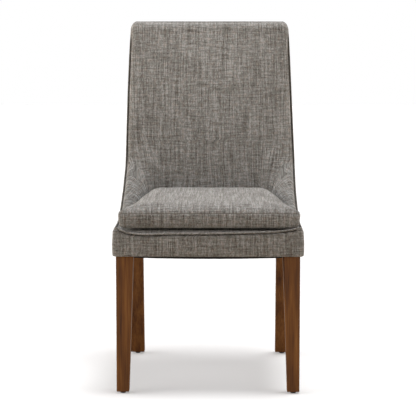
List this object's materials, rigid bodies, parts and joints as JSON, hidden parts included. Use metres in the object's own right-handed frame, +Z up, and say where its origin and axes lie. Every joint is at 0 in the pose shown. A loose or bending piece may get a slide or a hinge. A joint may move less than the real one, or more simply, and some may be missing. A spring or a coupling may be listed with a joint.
{
  "type": "parsons chair",
  "caption": "Armless upholstered dining chair with a tall leaning back, low wings that sweep into the seat, a loose boxed seat cushion and tapered wooden legs.",
  "frame": {"origin": "on the floor, at the middle of the chair's footprint", "axes": "+Z up, -Y towards the front of the chair, +X to the right as seen from the front"},
  "size_m": [0.5076, 0.6098, 0.981],
  "materials": {
    "upholstery": "grey heathered slub weave",
    "leg_wood": "walnut-brown stain, satin lacquer",
    "frame_wood": "bare hardwood and plywood",
    "foam": "open-cell upholstery foam and wadding",
    "webbing": "woven elastic webbing",
    "dust_cloth": "thin black non-woven cloth",
    "steel": "zinc-plated",
    "glide_plastic": "moulded nail-on glide"
  },
  "bodies": {
    "root": {"back_pad": "foam", "back_post_left": "frame_wood", "back_post_right": "frame_wood", "back_webbing_1": "webbing", "back_webbing_2": "webbing", "back_webbing_3": "webbing", "back_webbing_4": "webbing", "crest_pad": "foam", "crest_rail": "frame_wood", "deck_cover": "upholstery", "deck_pad": "foam", "dust_cover": "dust_cloth", "front_band": "upholstery", "front_corner_block_left": "frame_wood", "front_corner_block_right": "frame_wood", "front_glide_left": "glide_plastic", "front_glide_right": "glide_plastic", "front_leg_bolt_left": "steel", "front_leg_bolt_right": "steel", "front_leg_left": "leg_wood", "front_leg_nut_left": "steel", "front_leg_nut_right": "steel", "front_leg_right": "leg_wood", "front_rail": "frame_wood", "front_welt": "upholstery", "inside_cover": "upholstery", "lower_back_rail": "frame_wood", "outside_back_cover": "upholstery", "rear_corner_block_left": "frame_wood", "rear_corner_block_right": "frame_wood", "rear_glide_left": "glide_plastic", "rear_glide_right": "glide_plastic", "rear_leg_bolt_left": "steel", "rear_leg_bolt_right": "steel", "rear_leg_left": "leg_wood", "rear_leg_nut_left": "steel", "rear_leg_nut_right": "steel", "rear_leg_right": "leg_wood", "rear_rail": "frame_wood", "seat_cushion_cover": "upholstery", "seat_cushion_foam": "foam", "seat_cushion_underside": "dust_cloth", "seat_webbing_cross_1": "webbing", "seat_webbing_cross_2": "webbing", "seat_webbing_cross_3": "webbing", "seat_webbing_cross_4": "webbing", "seat_webbing_long_1": "webbing", "seat_webbing_long_2": "webbing", "seat_webbing_long_3": "webbing", "seat_webbing_long_4": "webbing", "side_cover_left": "upholstery", "side_cover_right": "upholstery", "side_rail_left": "frame_wood", "side_rail_right": "frame_wood", "side_welt_left": "upholstery", "side_welt_right": "upholstery", "wing_pad_left": "foam", "wing_pad_right": "foam", "wing_panel_left": "frame_wood", "wing_panel_right": "frame_wood"}
  },
  "joints": []
}
